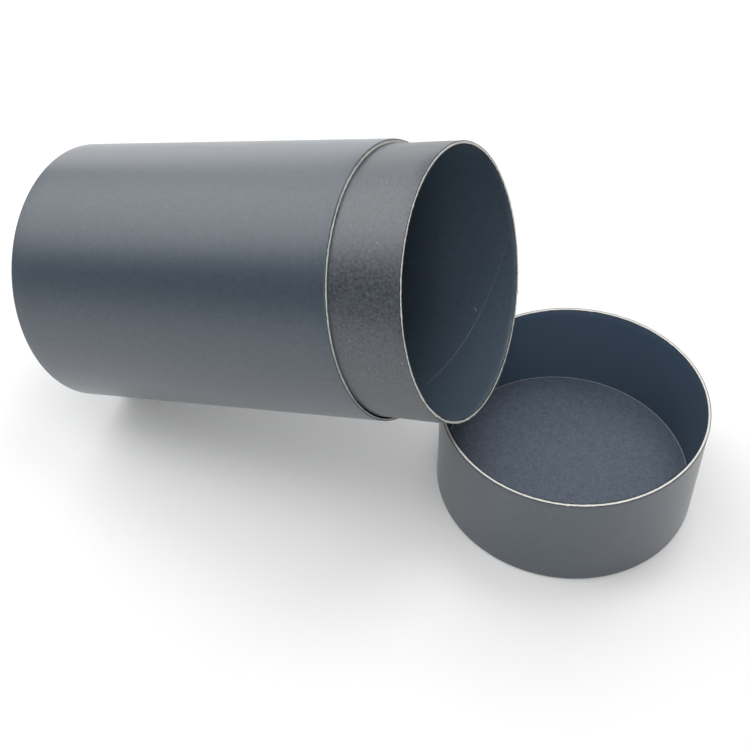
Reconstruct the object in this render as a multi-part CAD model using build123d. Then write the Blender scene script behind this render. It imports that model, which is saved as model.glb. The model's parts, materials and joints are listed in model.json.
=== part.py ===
from build123d import *
import math
import os

# A two-piece cardboard tube, seen with its lid taken off. The body lies on the floor on the edge of its
# base, and its neck leans on the rim of the upturned lid. Lengths are in millimetres and angles in degrees.
# +Z is up, +X runs along the body towards its mouth, and the origin is on the floor under the middle.

# Tube stock: the outer tube and the lid are cut from the same one
outer_diameter = 100.0
wall = 1.4
body_length = 136.0
lid_height = 44.0

# Neck tube: glued into the outer tube, and standing out of it to carry the lid
neck_wall = 1.4
neck_standing = 26.5
slip_clearance = 0.15

# Curled end: the wall turned inwards and back up on itself, with a narrow slot left between
curl_height = 3.5
curl_slot = 0.4
foot_bevel_share = 0.25

# End boards: discs that drop onto the lip of the curl
disc_thickness = 2.0
disc_clearance = 0.2

# How the two lie: where the lid's rim meets the neck, and which way the lid stands from there
rest_past_shoulder = 4.5
rest_gap = 0.1
lid_bearing = 9.5

# Radii, from the outside in
outer_radius = outer_diameter / 2
bore_radius = outer_radius - wall
neck_radius = bore_radius - slip_clearance
disc_radius = bore_radius - disc_clearance

# Heights above the curled end
lip_top = curl_height
seat_height = lip_top + disc_thickness

# The curl's own sizes
curl_width = 2 * wall + curl_slot
foot_bevel = foot_bevel_share * curl_width

low_corner = (Align.MIN, Align.MIN)
on_base = (Align.CENTER, Align.CENTER, Align.MIN)


def curled_section(length):
    """Cut section of a wall with a curled end: radius along X, height along Y, the rim at the top."""
    straight = Pos(bore_radius, 0) * Rectangle(wall, length, align=low_corner)
    turned_in = Pos(outer_radius - curl_width, 0) * Rectangle(curl_width, curl_height, align=low_corner)
    slot = Pos(bore_radius - curl_slot, wall) * Rectangle(curl_slot, length, align=low_corner)
    section = straight + turned_in - slot
    return chamfer(section.vertices().group_by(Axis.Y)[0], foot_bevel)


def curled_tube(length):
    """A tube on the Z axis, standing on its curled end, with a raw cut rim at the top."""
    return revolve(Plane.XZ * curled_section(length), axis=Axis.Z)


def end_disc():
    """A round end board on the Z axis, lying on the lip of the curl."""
    return Pos(0, 0, lip_top) * Cylinder(disc_radius, disc_thickness, align=on_base)


def straight_neck():
    """The neck tube on the Z axis, from the end board to the mouth."""
    length = body_length + neck_standing - seat_height
    outside = Cylinder(neck_radius, length, align=on_base)
    inside = Cylinder(neck_radius - neck_wall, length, align=on_base)
    return Pos(0, 0, seat_height) * (outside - inside)


# Lean of the body: the upper edge of the base's bevel is on the floor, and the neck's lowest line is just
# over the lid's rim at rest_past_shoulder, so step * cos + run * sin = rest_height in the angle of the lean.
rest_height = lid_height + rest_gap
step = outer_radius - neck_radius
run = body_length + rest_past_shoulder - foot_bevel
lean = math.asin(rest_height / math.hypot(step, run)) - math.atan2(step, run)
base_height = outer_radius * math.cos(lean) - foot_bevel * math.sin(lean)

# Place of the lid in plan, from the centre of the base: at the rim's height the neck's outside is an
# ellipse, and the rim touches it where the ellipse faces along the bearing.
bearing = math.radians(lid_bearing)
ellipse_x = (rest_height - base_height) / math.tan(lean)
ellipse_long = neck_radius / math.sin(lean)
ellipse_reach = math.hypot(ellipse_long * math.cos(bearing), neck_radius * math.sin(bearing))
touch_x = ellipse_x + ellipse_long**2 * math.cos(bearing) / ellipse_reach
touch_y = neck_radius**2 * math.sin(bearing) / ellipse_reach
lid_x = touch_x + outer_radius * math.cos(bearing)
lid_y = touch_y + outer_radius * math.sin(bearing)

# Middle of the whole in plan, from the centre of the base to the origin
far_left = (foot_bevel - outer_radius) * math.sin(lean)
middle_x = (far_left + lid_x + outer_radius) / 2
middle_y = lid_y / 2

upright = 90
body_place = Pos(-middle_x, -middle_y, base_height) * Rot(0, upright - math.degrees(lean), 0)
lid_place = Pos(lid_x - middle_x, lid_y - middle_y, 0)

pieces = {
    "outer_tube": body_place * curled_tube(body_length),
    "neck_tube": body_place * straight_neck(),
    "base_disc": body_place * end_disc(),
    "lid_tube": lid_place * curled_tube(lid_height),
    "lid_disc": lid_place * end_disc(),
}

os.makedirs("parts", exist_ok=True)
for name, piece in pieces.items():
    export_step(piece, f"parts/{name}.step")
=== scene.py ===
"""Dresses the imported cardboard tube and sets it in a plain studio.

The wound walls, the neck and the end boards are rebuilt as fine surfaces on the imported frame, with their
plies, raw cut edges and papers, on a pale floor in soft light. Lengths are in metres and angles in degrees.
"""

import json
import logging
import math
from collections.abc import Sequence
from dataclasses import dataclass, field, replace
from enum import Enum
from typing import Any

import bpy
import numpy as np
from mathutils import Matrix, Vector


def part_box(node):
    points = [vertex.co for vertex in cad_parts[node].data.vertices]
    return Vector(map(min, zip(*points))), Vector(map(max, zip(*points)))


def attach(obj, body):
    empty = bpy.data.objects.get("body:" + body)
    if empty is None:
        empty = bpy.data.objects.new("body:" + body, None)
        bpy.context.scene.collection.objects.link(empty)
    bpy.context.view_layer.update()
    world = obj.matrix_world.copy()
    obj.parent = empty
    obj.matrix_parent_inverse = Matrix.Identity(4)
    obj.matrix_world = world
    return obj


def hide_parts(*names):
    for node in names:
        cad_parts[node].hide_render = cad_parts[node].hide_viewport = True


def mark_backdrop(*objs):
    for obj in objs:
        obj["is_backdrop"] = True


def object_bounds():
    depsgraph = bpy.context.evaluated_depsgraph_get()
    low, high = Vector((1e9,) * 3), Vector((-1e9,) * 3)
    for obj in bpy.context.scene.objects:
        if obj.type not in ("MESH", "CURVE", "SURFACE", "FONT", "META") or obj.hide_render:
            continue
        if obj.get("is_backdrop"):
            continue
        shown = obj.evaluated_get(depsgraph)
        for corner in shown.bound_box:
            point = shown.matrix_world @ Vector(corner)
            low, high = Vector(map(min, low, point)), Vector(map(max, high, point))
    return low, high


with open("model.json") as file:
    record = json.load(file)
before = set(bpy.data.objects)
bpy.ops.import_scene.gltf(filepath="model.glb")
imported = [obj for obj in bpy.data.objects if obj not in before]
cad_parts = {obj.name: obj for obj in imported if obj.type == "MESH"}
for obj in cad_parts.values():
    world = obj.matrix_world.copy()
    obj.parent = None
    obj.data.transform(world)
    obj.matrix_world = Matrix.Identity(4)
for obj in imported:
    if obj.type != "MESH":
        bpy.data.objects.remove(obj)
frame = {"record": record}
CAD_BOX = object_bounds()
ROOT_BODY = "root"
MILLIMETRES = 1000.0
HALF_MILLIMETRE = 0.0005
FULL_TURN = 2 * math.pi
UV_RADIUS = 0.05
CREASE_ANGLE = 50.0
LOG = logging.getLogger("cardboard_tube")

Colour = tuple[float, float, float]
Point = tuple[float, float]
Finishes = dict[str, bpy.types.Material]
WHITE: Colour = (1.0, 1.0, 1.0)


class Zone(Enum):
    """Which finish a strip of a piece wears. The value is the strip's material slot."""

    FACE = 0
    CUT = 1
    LINING = 2


# Frame and sizes


@dataclass(frozen=True)
class Axis:
    """A straight axis in the part's frame, with the two directions from which its angles are counted."""

    origin: np.ndarray
    along: np.ndarray
    across: np.ndarray
    beside: np.ndarray

    def place(self, radius: np.ndarray, angle: np.ndarray, height: np.ndarray) -> np.ndarray:
        """Point at a radius, angle and height: origin + r (cos a across + sin a beside) + h along."""
        ring = np.cos(angle)[..., None] * self.across + np.sin(angle)[..., None] * self.beside
        return self.origin + radius[..., None] * ring + height[..., None] * self.along


@dataclass(frozen=True)
class TubeSizes:
    """Main sizes and places of the tube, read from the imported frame."""

    outer_radius: float
    body_length: float
    lid_height: float
    bore_radius: float
    bore_length: float
    board_radius: float
    board_low: float
    board_high: float
    body_axis: Axis
    lid_axis: Axis

    @classmethod
    def from_frame(cls, record: dict[str, Any]) -> "TubeSizes":
        """Reads the sizes from the record's bore mount and the nodes' boxes.

        Args:
            record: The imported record.

        Returns:
            The sizes, with the body's axis starting at its base and the lid's at its foot. The body's
            length is taken to the half millimetre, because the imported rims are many-sided.
        """
        bore = next(mount for mount in record["mounts"] if mount["kind"] == "bore")
        bore_length = bore["dims"]["length_mm"] / MILLIMETRES
        lid_low, lid_high = (np.array(corner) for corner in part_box("lid_tube"))
        board_low, board_high = (np.array(corner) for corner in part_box("lid_disc"))
        outer_radius = (lid_high[0] - lid_low[0]) / 2
        along = np.array(bore["axis"]) / np.linalg.norm(bore["axis"])
        across = np.array((0.0, 1.0, 0.0))
        base = np.array(bore["pos_m"]) - along * (bore_length / 2 + board_high[2])
        wall_length = (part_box("outer_tube")[1][2] - base[2] - outer_radius * along[0]) / along[2]
        lid_middle = (lid_low + lid_high) / 2
        return cls(
            outer_radius=outer_radius,
            body_length=round(wall_length / HALF_MILLIMETRE) * HALF_MILLIMETRE,
            lid_height=lid_high[2] - lid_low[2],
            bore_radius=bore["dims"]["r_mm"] / MILLIMETRES,
            bore_length=bore_length,
            board_radius=(board_high[0] - board_low[0]) / 2,
            board_low=board_low[2],
            board_high=board_high[2],
            body_axis=Axis(base, along, across, np.cross(along, across)),
            lid_axis=Axis(np.array((lid_middle[0], lid_middle[1], lid_low[2])), *np.eye(3)[[2, 0, 1]]),
        )

    @property
    def mouth(self) -> float:
        """Height of the neck's rim over the base."""
        return self.board_high + self.bore_length


# Sections and surfaces


@dataclass(frozen=True)
class Section:
    """Rows of a wall's cut section, in order round it, outer side going up.

    A row has a radius, a height, its depth through the board (0 outside, 1 inside), the zone of the strip
    from it to the next row, and a share of the rim's raggedness.
    """

    radius: np.ndarray
    height: np.ndarray
    depth: np.ndarray
    zone: np.ndarray
    ragged: np.ndarray

    @classmethod
    def joined(cls, parts: Sequence["Section"]) -> "Section":
        """One section from parts that follow each other."""
        names = ("radius", "height", "depth", "zone", "ragged")
        return cls(*(np.concatenate([getattr(part, name) for part in parts]) for name in names))

    def wears(self, zone: Zone) -> np.ndarray:
        """Which rows start a strip of a zone."""
        return self.zone == zone.value

    def lengths(self) -> np.ndarray:
        """Running length round the section, one more than its rows, equal to the height on the outside."""
        steps = np.hypot(np.roll(self.radius, -1) - self.radius, np.roll(self.height, -1) - self.height)
        run = np.concatenate(((0.0,), np.cumsum(steps)))
        outside = np.argmax(self.radius)
        return run + self.height[outside] - run[outside]


@dataclass(frozen=True)
class Span:
    """How a stretch of a section is filled: its rows, its depths at both ends, its zone and raggedness."""

    rows: int
    depths: tuple[float, float]
    zone: Zone
    ragged: float = 0.0

    def line(self, start: Point, end: Point) -> Section:
        """Rows along a straight line without its last point: start + (end - start) t."""
        share = np.arange(self.rows) / self.rows
        return self._filled(start[0] + (end[0] - start[0]) * share, start[1] + (end[1] - start[1]) * share)

    def bend(self, centre: Point, size: float, turns: tuple[float, float]) -> Section:
        """Rows along an arc without its last point: centre + size (cos t, sin t).

        Args:
            centre: Radius and height of the arc's centre.
            size: The arc's own radius.
            turns: First and last direction from the centre, 0 away from the axis and 90 up.

        Returns:
            The stretch.
        """
        share = np.arange(self.rows) / self.rows
        turn = np.radians(turns[0] + (turns[1] - turns[0]) * share)
        return self._filled(centre[0] + size * np.cos(turn), centre[1] + size * np.sin(turn))

    def _filled(self, radius: np.ndarray, height: np.ndarray) -> Section:
        """The rows with their depths, zone and raggedness."""
        share = np.arange(self.rows) / self.rows
        depth = self.depths[0] + (self.depths[1] - self.depths[0]) * share
        zone = np.full(self.rows, self.zone.value)
        return Section(radius, height, depth, zone, np.full(self.rows, self.ragged))


def added(name: str, data: bpy.types.ID) -> bpy.types.Object:
    """Makes an object of its data and links it to the scene."""
    made = bpy.data.objects.new(name, data)
    bpy.context.scene.collection.objects.link(made)
    return made


def turned(
    made: bpy.types.Object, axes: Sequence[np.ndarray], place: Sequence[float] | np.ndarray
) -> bpy.types.Object:
    """Turns an object's own axes to three directions, moves it to a place and hands it back."""
    matrix = np.eye(4)
    matrix[:3, :3] = np.stack(axes, 1)
    matrix[:3, 3] = place
    made.matrix_world = Matrix(matrix.tolist())
    return made


@dataclass
class Shape:
    """A mesh in numbers: corners, faces, the faces' zones, their UVs and values at the corners."""

    corners: np.ndarray
    quads: np.ndarray
    zones: np.ndarray
    uvs: np.ndarray
    triangles: np.ndarray = field(default_factory=lambda: np.zeros((0, 3), int))
    values: dict[str, np.ndarray] = field(default_factory=dict)

    def piece(
        self, name: str, finishes: Sequence[bpy.types.Material], slot: str, node: str = ""
    ) -> bpy.types.Object:
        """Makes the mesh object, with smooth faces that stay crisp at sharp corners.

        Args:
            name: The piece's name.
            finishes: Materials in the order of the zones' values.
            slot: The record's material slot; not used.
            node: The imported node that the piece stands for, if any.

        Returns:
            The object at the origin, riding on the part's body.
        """
        mesh = bpy.data.meshes.new(name)
        faces = self.quads.tolist() + self.triangles.tolist()
        mesh.from_pydata(self.corners.reshape(-1, 3).tolist(), [], faces)
        for finish in finishes:
            mesh.materials.append(finish)
        mesh.polygons.foreach_set("material_index", self.zones.astype(np.int32))
        mesh.uv_layers.new(name="winding").data.foreach_set("uv", self.uvs.astype(np.float32).ravel())
        for value_name, value in self.values.items():
            attribute = mesh.attributes.new(value_name, "FLOAT", "POINT")
            attribute.data.foreach_set("value", value.astype(np.float32).ravel())
        mesh.shade_smooth()
        mesh.set_sharp_from_angle(angle=math.radians(CREASE_ANGLE))
        mesh.update()
        made = added(name, mesh)
        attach(made, ROOT_BODY)
        if node:
            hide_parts(node)
        return made


def ring_quads(rows: int, columns: int, closed: bool) -> np.ndarray:
    """Quads of a grid whose columns run round and meet, facing out when the rows go up on the outside.

    Args:
        rows: Rows of points.
        columns: Points in a row.
        closed: Whether the last row joins the first.

    Returns:
        Corner numbers, four to a quad, row by row.
    """
    row, column = np.meshgrid(np.arange(rows if closed else rows - 1), np.arange(columns), indexing="ij")
    above = (row + 1) % rows * columns
    beside = (column + 1) % columns
    low = row * columns
    return np.stack((low + column, low + beside, above + beside, above + column), -1).reshape(-1, 4)


def pole_triangles(rows: int, columns: int) -> np.ndarray:
    """Triangles that close an open grid at both ends, with its two poles numbered after its points."""
    column = np.arange(columns)
    beside = (column + 1) % columns
    last, pole = (rows - 1) * columns, np.full(columns, rows * columns)
    low_end = np.stack((pole, beside, column), -1)
    return np.concatenate((low_end, np.stack((pole + 1, last + column, last + beside), -1)))


def band_noise(rng: np.random.Generator, rows: int, columns: int, finest: float) -> np.ndarray:
    """Seamless noise round a ring: white noise whose waves above a number per turn are taken out.

    Args:
        rng: Source of the numbers.
        rows: Independent rings.
        columns: Points round a ring.
        finest: Most waves per turn that are kept.

    Returns:
        An array of rows by columns with a spread of one.
    """
    waves = np.fft.rfft(rng.standard_normal((rows, columns)))
    waves *= np.exp(-((np.arange(waves.shape[1]) / finest) ** 2))
    noise = np.fft.irfft(waves, columns)
    return noise / noise.std()


def smooth_step(value: np.ndarray) -> np.ndarray:
    """Rises from 0 to 1 with level ends: 3 t^2 - 2 t^3, held outside that range."""
    share = np.clip(value, 0.0, 1.0)
    return share * share * (3 - 2 * share)


def angle_gap(angle: np.ndarray, middle: float) -> np.ndarray:
    """Signed angle from a middle given in degrees, in radians from minus half a turn to half a turn."""
    return (angle - math.radians(middle) + math.pi) % FULL_TURN - math.pi


def bell(angle: np.ndarray, middle: float, spread: float) -> np.ndarray:
    """Falls from 1 at a middle to both sides: exp(-(gap / spread)^2)."""
    gap = angle_gap(angle, middle) / math.radians(spread)
    return np.exp(-gap * gap)


def even_columns(count: int, extra: Sequence[float] = ()) -> np.ndarray:
    """Angles evenly round a full turn in radians, with any extra ones set in among them."""
    angles = np.arange(count) * FULL_TURN / count
    return np.unique(np.concatenate((angles, np.asarray(extra) % FULL_TURN)))


@dataclass(frozen=True)
class RimWear:
    """How rough a raw rim is: its plies' steps, fuzz, a ragged stretch and a burr on its outer corner."""

    seed: int
    plies: int = 5
    groove: float = 0.00004
    groove_sharpness: int = 6
    fuzz: float = 0.00004
    finest_waves: float = 170.0
    ragged_middle: float = 0.0
    ragged_spread: float = 12.0
    ragged_fuzz: float = 0.0
    burr_middle: float = 0.0
    burr_spread: float = 0.7
    burr_size: float = 0.0
    burr_fade: float = 3.0

    def lift(self, section: Section, angle: np.ndarray) -> np.ndarray:
        """Height added to the rim: each ply's noise, larger in the ragged stretch, less the grooves.

        Args:
            section: The wall's section.
            angle: Angles of the grid.

        Returns:
            Heights, rows by columns, zero away from the rim.
        """
        rng = np.random.default_rng(self.seed)
        noise = band_noise(rng, self.plies, angle.shape[1], self.finest_waves)
        ply = np.clip((section.depth * self.plies).astype(int), 0, self.plies - 1)
        size = self.fuzz + self.ragged_fuzz * bell(angle, self.ragged_middle, self.ragged_spread)
        joint = np.abs(np.cos(math.pi * section.depth * self.plies)) ** self.groove_sharpness
        return section.ragged[:, None] * (noise[ply] * size - self.groove * joint[:, None])

    def swell(self, section: Section, angle: np.ndarray) -> np.ndarray:
        """Radius added by the burr: a small bell in angle, strongest at the rim's outer corner."""
        outer = section.ragged * np.clip(1 - self.burr_fade * section.depth, 0, 1)
        return self.burr_size * outer[:, None] * bell(angle, self.burr_middle, self.burr_spread)


@dataclass(frozen=True)
class OutOfRound:
    """A slight oval of an open rim: its long way's bearing and size, fading towards the held end."""

    bearing: float
    size: float
    held_height: float
    rim_height: float

    def swell(self, height: np.ndarray, angle: np.ndarray) -> np.ndarray:
        """Radius added: size cos 2(a - bearing), times a smooth rise from the held height to the rim."""
        rise = smooth_step((height - self.held_height) / (self.rim_height - self.held_height))
        return self.size * rise[:, None] * np.cos(2 * (angle - math.radians(self.bearing)))


@dataclass(frozen=True)
class LapSeam:
    """The straight lap of a wall's facing paper: one thickness of paper over a narrow strip."""

    bearing: float
    paper: float = 0.0001
    overlap: float = 0.009
    edge: float = 0.0002
    far_edge: float = 0.002

    def swell(self, angle: np.ndarray, radius: float) -> np.ndarray:
        """Radius added: the paper's thickness over the lap, with one crisp edge and one soft edge."""
        run = angle_gap(angle, self.bearing) * radius
        return self.paper * smooth_step(run / self.edge) * smooth_step((self.overlap - run) / self.far_edge)

    def columns(self, radius: float) -> np.ndarray:
        """Extra angles that keep the crisp edge narrow, in radians."""
        return math.radians(self.bearing) + np.array((0.0, self.edge / 2, self.edge)) / radius


@dataclass(frozen=True)
class SunkPlies:
    """A stretch of a raw rim where the inner plies have sunk below the outer ones, and where they are
    painted dark as shade.
    """

    step: float
    middle: float
    spread: float
    least_share: float = 0.06

    def share(self, angle: np.ndarray) -> np.ndarray:
        """How much of the step shows at an angle: a bell round the middle, over a small least share."""
        return self.least_share + (1 - self.least_share) * bell(angle, self.middle, self.spread)

    def raised(self, section: Section, angle: np.ndarray, top: float, from_depth: float) -> np.ndarray:
        """Height given back to the sunk plies: (top - height) (1 - share), on rows from a depth on.

        Args:
            section: The wall's section, with the full step.
            angle: Angles of the grid.
            top: Height of the rim.
            from_depth: Depth through the board at which the sunk plies start.

        Returns:
            Heights, rows by columns.
        """
        sunk = (section.depth >= from_depth) & (section.ragged > 0.0)
        drop = np.where(sunk, np.minimum(top - section.height, self.step), 0.0)
        return drop[:, None] * (1 - self.share(angle))

    def painted_shade_depth(self, section: Section, angle: np.ndarray, from_depth: float) -> np.ndarray:
        """Painted shade: depth through the board, moved to the dark inner paper where the plies have sunk,
        so the sunk plies take its dark colour.
        """
        sunk = ((section.depth >= from_depth) & (section.ragged > 0.0))[:, None]
        depth = section.depth[:, None]
        return np.where(sunk, depth + (1 - depth) * self.share(angle), np.broadcast_to(depth, angle.shape))


# Node wiring and shared effects


class Wiring:
    """Adds nodes to a tree and joins them. Sockets and plain values can both be given as inputs."""

    def __init__(self, tree: bpy.types.NodeTree) -> None:
        """Starts on an emptied tree."""
        self.tree = tree
        tree.nodes.clear()

    @classmethod
    def of(cls, owner: bpy.types.Material | bpy.types.World) -> "Wiring":
        """Starts on the emptied nodes of a material or a world."""
        owner.use_nodes = True
        return cls(owner.node_tree)

    def node(self, kind: str, inputs: dict[Any, Any] | None = None, **settings: Any) -> bpy.types.Node:
        """Adds a node.

        Args:
            kind: The node's type name after ShaderNode.
            inputs: Values or sockets by input name or number.
            settings: Properties of the node itself.

        Returns:
            The new node.
        """
        made = self.tree.nodes.new(kind if kind.startswith("NodeGroup") else "ShaderNode" + kind)
        for name, value in settings.items():
            setattr(made, name, value)
        for name, value in (inputs or {}).items():
            self.put(made.inputs[name], value)
        return made

    def put(self, socket: bpy.types.NodeSocket, value: Any) -> None:
        """Sets an input to a plain value, or joins another node's output to it."""
        if isinstance(value, bpy.types.NodeSocket):
            self.tree.links.new(value, socket)
        elif isinstance(value, tuple) and socket.type == "RGBA":
            socket.default_value = (*value, 1.0)
        else:
            socket.default_value = value

    def math(self, operation: str, *values: Any) -> bpy.types.NodeSocket:
        """Result of a Math node on one, two or three inputs."""
        return self.node("Math", dict(enumerate(values)), operation=operation).outputs[0]

    def between(self, value: Any, low: Any, high: Any, to_low: float = 0.0, to_high: float = 1.0) -> Any:
        """A value taken smoothly from one range to another and held at its ends."""
        names = ("Value", "From Min", "From Max", "To Min", "To Max")
        inputs = dict(zip(names, (value, low, high, to_low, to_high)))
        return self.node("MapRange", inputs, interpolation_type="SMOOTHSTEP").outputs["Result"]

    def mix(self, share: Any, first: Any, second: Any) -> bpy.types.NodeSocket:
        """Colour between two colours, the second at a share of one."""
        made = self.node("Mix", data_type="RGBA")
        for name, value in (("Factor_Float", share), ("A_Color", first), ("B_Color", second)):
            self.put(next(socket for socket in made.inputs if socket.identifier == name), value)
        return next(socket for socket in made.outputs if socket.identifier == "Result_Color")

    def noise(self, vector: Any, scale: Any, detail: float, rough: float) -> bpy.types.NodeSocket:
        """Value of a Noise Texture at a vector."""
        inputs = {"Vector": vector, "Scale": scale, "Detail": detail, "Roughness": rough}
        return self.node("TexNoise", inputs).outputs["Fac"]

    def vector(self, operation: str, *values: Any, output: str = "Vector") -> bpy.types.NodeSocket:
        """Result of a Vector Math node."""
        return self.node("VectorMath", dict(enumerate(values)), operation=operation).outputs[output]


class Effect:
    """A shader node group with named sockets, built once and placed in several finishes."""

    name: str
    takes: dict[str, str]
    gives: str

    def __init__(self) -> None:
        """Makes the group's tree and sockets and wires it."""
        self.tree = bpy.data.node_groups.new(self.name, "ShaderNodeTree")
        wiring = Wiring(self.tree)
        for socket_name, kind in self.takes.items():
            self.tree.interface.new_socket(socket_name, in_out="INPUT", socket_type="NodeSocket" + kind)
        self.tree.interface.new_socket(self.gives, in_out="OUTPUT", socket_type="NodeSocketFloat")
        given = self.wire(wiring, wiring.node("NodeGroupInput").outputs)
        wiring.node("NodeGroupOutput", {self.gives: given})

    def wire(self, wiring: Wiring, taken: Any) -> bpy.types.NodeSocket:
        """Adds the effect's nodes between the group's inputs and the socket that it gives."""
        raise NotImplementedError

    def placed(self, wiring: Wiring, inputs: dict[str, Any]) -> bpy.types.NodeSocket:
        """Places the group in a finish with its own values, and gives its output."""
        return wiring.node("Group", inputs, node_tree=self.tree).outputs[self.gives]


class FibreMottle(Effect):
    """Cloudy paper fibre: two sizes of noise in equal shares, from 0 to 1 about a half."""

    name = "fibre_mottle"
    takes = {"Vector": "Vector", "Scale": "Float"}
    gives = "Mottle"
    rough = 0.6
    coarse_detail = 3.0
    fine_detail = 2.0
    finer = 2.7
    middle = 0.5

    def wire(self, wiring: Wiring, taken: Any) -> bpy.types.NodeSocket:
        """Half the sum of a coarse noise and a finer one."""
        coarse = wiring.noise(taken["Vector"], taken["Scale"], self.coarse_detail, self.rough)
        fine_scale = wiring.math("MULTIPLY", taken["Scale"], self.finer)
        fine = wiring.noise(taken["Vector"], fine_scale, self.fine_detail, self.rough)
        return wiring.math("MULTIPLY", wiring.math("ADD", coarse, fine), self.middle)


class StraySpecks(Effect):
    """Stray light fibres and dust: small spots in a few of the cells of a random cell pattern."""

    name = "stray_specks"
    takes = {"Vector": "Vector", "Scale": "Float", "Share": "Float", "Size": "Float"}
    gives = "Mask"

    def wire(self, wiring: Wiring, taken: Any) -> bpy.types.NodeSocket:
        """A spot round each cell's point, kept where the cell's own number is under the share."""
        cells = wiring.node("TexVoronoi", {"Vector": taken["Vector"], "Scale": taken["Scale"]})
        number = wiring.node("SeparateColor", {0: cells.outputs["Color"]}).outputs[0]
        chosen = wiring.math("LESS_THAN", number, taken["Share"])
        spot = wiring.between(cells.outputs["Distance"], taken["Size"], 0.0)
        return wiring.math("MULTIPLY", spot, chosen)


class ScuffMark(Effect):
    """One short scuff on a wall: a soft ellipse at a place of the wall's own UV map."""

    name = "scuff_mark"
    takes = {"UV": "Vector", "Place": "Vector", "Slant": "Float", "Length": "Float", "Width": "Float"}
    gives = "Mask"
    core_share = 0.2

    def wire(self, wiring: Wiring, taken: Any) -> bpy.types.NodeSocket:
        """Falls from 1 at the place to 0 at an ellipse, with the way round the wall taken the short way."""
        away = wiring.vector("SUBTRACT", taken["UV"], taken["Place"])
        split = wiring.node("SeparateXYZ", {0: away})
        half_girth = FULL_TURN * UV_RADIUS / 2
        short_way = wiring.math("WRAP", split.outputs[0], half_girth, -half_girth)
        near = wiring.node("CombineXYZ", {0: short_way, 1: split.outputs[1]}).outputs[0]
        inputs = {"Vector": near, "Angle": taken["Slant"]}
        slanted = wiring.node("VectorRotate", inputs, rotation_type="Z_AXIS").outputs[0]
        size = wiring.node("CombineXYZ", {0: taken["Length"], 1: taken["Width"], 2: 1.0}).outputs[0]
        reach = wiring.vector("LENGTH", wiring.vector("DIVIDE", slanted, size), output="Value")
        return wiring.between(reach, 1.0, self.core_share)


@dataclass(frozen=True)
class Effects:
    """The shared effects, each built once."""

    mottle: FibreMottle = field(default_factory=FibreMottle)
    specks: StraySpecks = field(default_factory=StraySpecks)
    scuff: ScuffMark = field(default_factory=ScuffMark)


# Finishes


class ScuffTone(Enum):
    """Whether a scuff bares the paper's pale fibre or leaves a dark smudge. The value is its colour."""

    PALE = (0.42, 0.42, 0.42)
    DARK = (0.012, 0.012, 0.014)


@dataclass(frozen=True)
class Scuff:
    """A scuff on a wall: its size, its slant from the way round, its tone, and its place and strength."""

    length: float
    width: float
    slant: float = 0.0
    tone: ScuffTone = ScuffTone.PALE
    height: float = 0.0
    angle: float = 0.0
    strength: float = 0.0


@dataclass(frozen=True, kw_only=True)
class Finish:
    """What all the board's finishes share: a name, fibre of some fineness and relief, and a sheen."""

    name: str
    fibre_scale: float
    relief: float
    rough: float
    shine: float

    def made(self, effects: Effects) -> bpy.types.Material:
        """Builds the material.

        Args:
            effects: The shared node groups.

        Returns:
            A material with one Principled shader, bumped by the fibre.
        """
        material = bpy.data.materials.new(self.name)
        wiring = Wiring.of(material)
        place = wiring.node("TexCoord").outputs
        mottle = effects.mottle.placed(wiring, {"Vector": place["Object"], "Scale": self.fibre_scale})
        bump = wiring.node("Bump", {"Height": mottle, "Distance": self.relief, "Strength": 1.0})
        shader = wiring.node("BsdfPrincipled", {
            "Roughness": self.rough,
            "Specular IOR Level": self.shine,
            "Normal": bump.outputs["Normal"],
            **self.look(wiring, effects, place, mottle),
        })
        wiring.node("OutputMaterial", {"Surface": shader.outputs["BSDF"]})
        return material

    def look(self, wiring: Wiring, effects: Effects, place: Any, mottle: Any) -> dict[str, Any]:
        """The finish's own shader inputs.

        Args:
            wiring: The material's wiring.
            effects: The shared node groups.
            place: Outputs of the material's Texture Coordinate node.
            mottle: The fibre.

        Returns:
            Values or sockets by shader input.
        """
        raise NotImplementedError


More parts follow.
